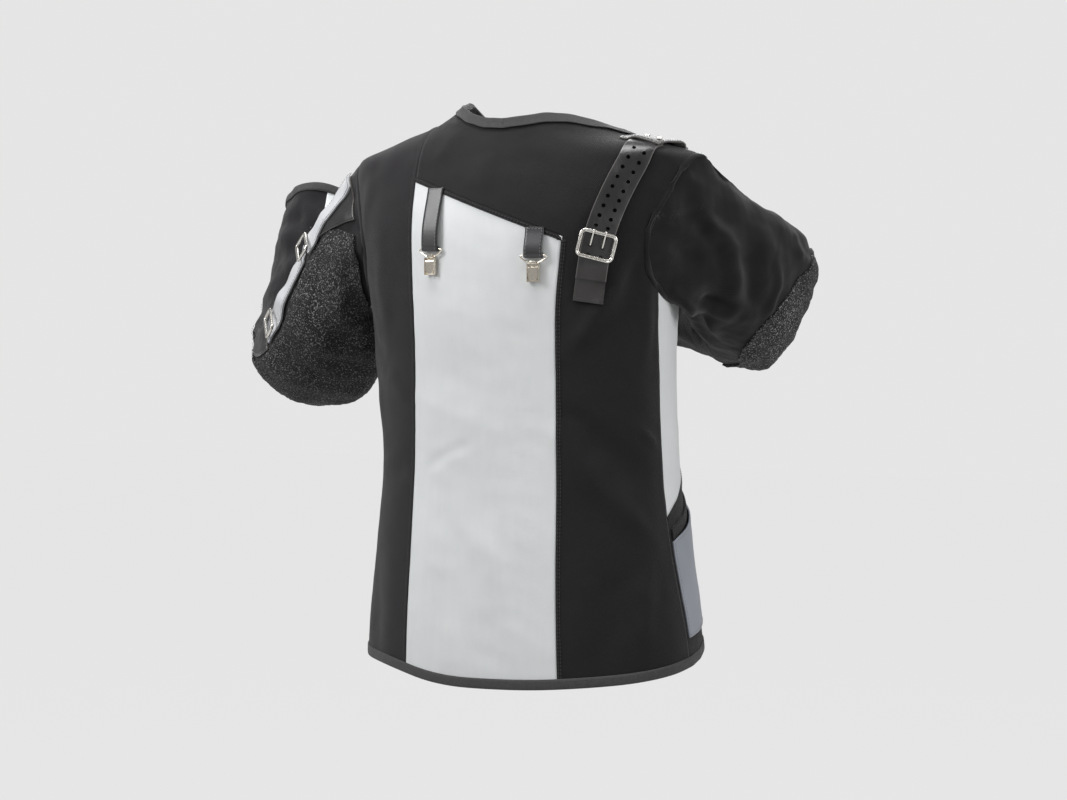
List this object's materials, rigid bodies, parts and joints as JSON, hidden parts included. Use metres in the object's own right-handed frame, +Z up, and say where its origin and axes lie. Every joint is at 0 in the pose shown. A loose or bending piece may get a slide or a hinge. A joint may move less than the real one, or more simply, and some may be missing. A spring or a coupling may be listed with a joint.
{
  "type": "shooting jacket",
  "caption": "Shooting jacket in worn form with no wearer: bent sleeves, black canvas and white panels, buckled shoulder strap, grip patches and clips.",
  "frame": {"origin": "between the shoulder tips at the nape, where the wearer's shoulders hold the jacket", "axes": "+Z up, +X towards the wearer's left, -Y towards the front"},
  "size_m": [0.787, 0.5076, 0.7139],
  "materials": {
    "black_canvas": "heavy woven canvas",
    "black_leather": "smooth leather with a soft shine",
    "blue_grey_panel": "coated cloth",
    "edge_tape": "woven tape",
    "grip_rubber": "pebbled rubber",
    "nickel": "polished nickel",
    "pale_leather": "pale smooth leather",
    "plain_button": "smooth plastic",
    "white_panel": "coated cloth, slightly glossy"
  },
  "bodies": {
    "jacket": {"arm_buckle_lower": "nickel", "arm_buckle_upper": "nickel", "arm_strap_base": "black_leather", "arm_strap_lower": "pale_leather", "arm_strap_upper": "pale_leather", "back_centre": "white_panel", "back_left": "black_canvas", "back_right_yoke": "black_canvas", "buckle_frame": "nickel", "buckle_prong_1": "nickel", "buckle_prong_2": "nickel", "button_1": "plain_button", "button_2": "plain_button", "button_3": "plain_button", "button_4": "plain_button", "button_5": "plain_button", "cuff_binding_left": "edge_tape", "cuff_binding_right": "edge_tape", "elbow_patch_left": "grip_rubber", "elbow_patch_right": "grip_rubber", "elbow_tab": "black_leather", "front_left": "black_canvas", "front_right_lower": "black_canvas", "front_right_upper": "white_panel", "hanger_left": "black_leather", "hanger_right": "black_leather", "hem_binding": "edge_tape", "neck_binding": "edge_tape", "pocket_right": "blue_grey_panel", "pocket_welt": "black_canvas", "shoulder_strap": "black_leather", "sleeve_left_back": "black_canvas", "sleeve_left_front": "white_panel", "sleeve_right_back": "black_canvas", "sleeve_right_front": "white_panel", "strap_anchor": "black_leather", "strap_base": "black_leather", "strap_rivet_1": "nickel", "strap_rivet_2": "nickel"},
    "clip_left": {"clip_loop_left": "nickel", "clip_body_left": "nickel"},
    "lever_left": {"clip_lever_left": "nickel"},
    "clip_right": {"clip_loop_right": "nickel", "clip_body_right": "nickel"},
    "lever_right": {"clip_lever_right": "nickel"}
  },
  "joints": [
    {"name": "clip_swing_left", "type": "hinge", "parent": "jacket", "child": "clip_left", "pos_m": [0.08016, 0.11828, -0.1765], "axis": [0.9901, -0.1407, 0], "range_deg": [0, 80]},
    {"name": "clip_lever_left", "type": "hinge", "parent": "clip_left", "child": "lever_left", "pos_m": [0.08027, 0.11908, -0.1919], "axis": [0.9901, -0.1407, 0], "range_deg": [0, 100]},
    {"name": "clip_swing_right", "type": "hinge", "parent": "jacket", "child": "clip_right", "pos_m": [-0.06069, 0.11969, -0.185], "axis": [0.9891, 0.147, 0], "range_deg": [0, 80]},
    {"name": "clip_lever_right", "type": "hinge", "parent": "clip_right", "child": "lever_right", "pos_m": [-0.06081, 0.12048, -0.2004], "axis": [0.9891, 0.147, 0], "range_deg": [0, 100]}
  ]
}
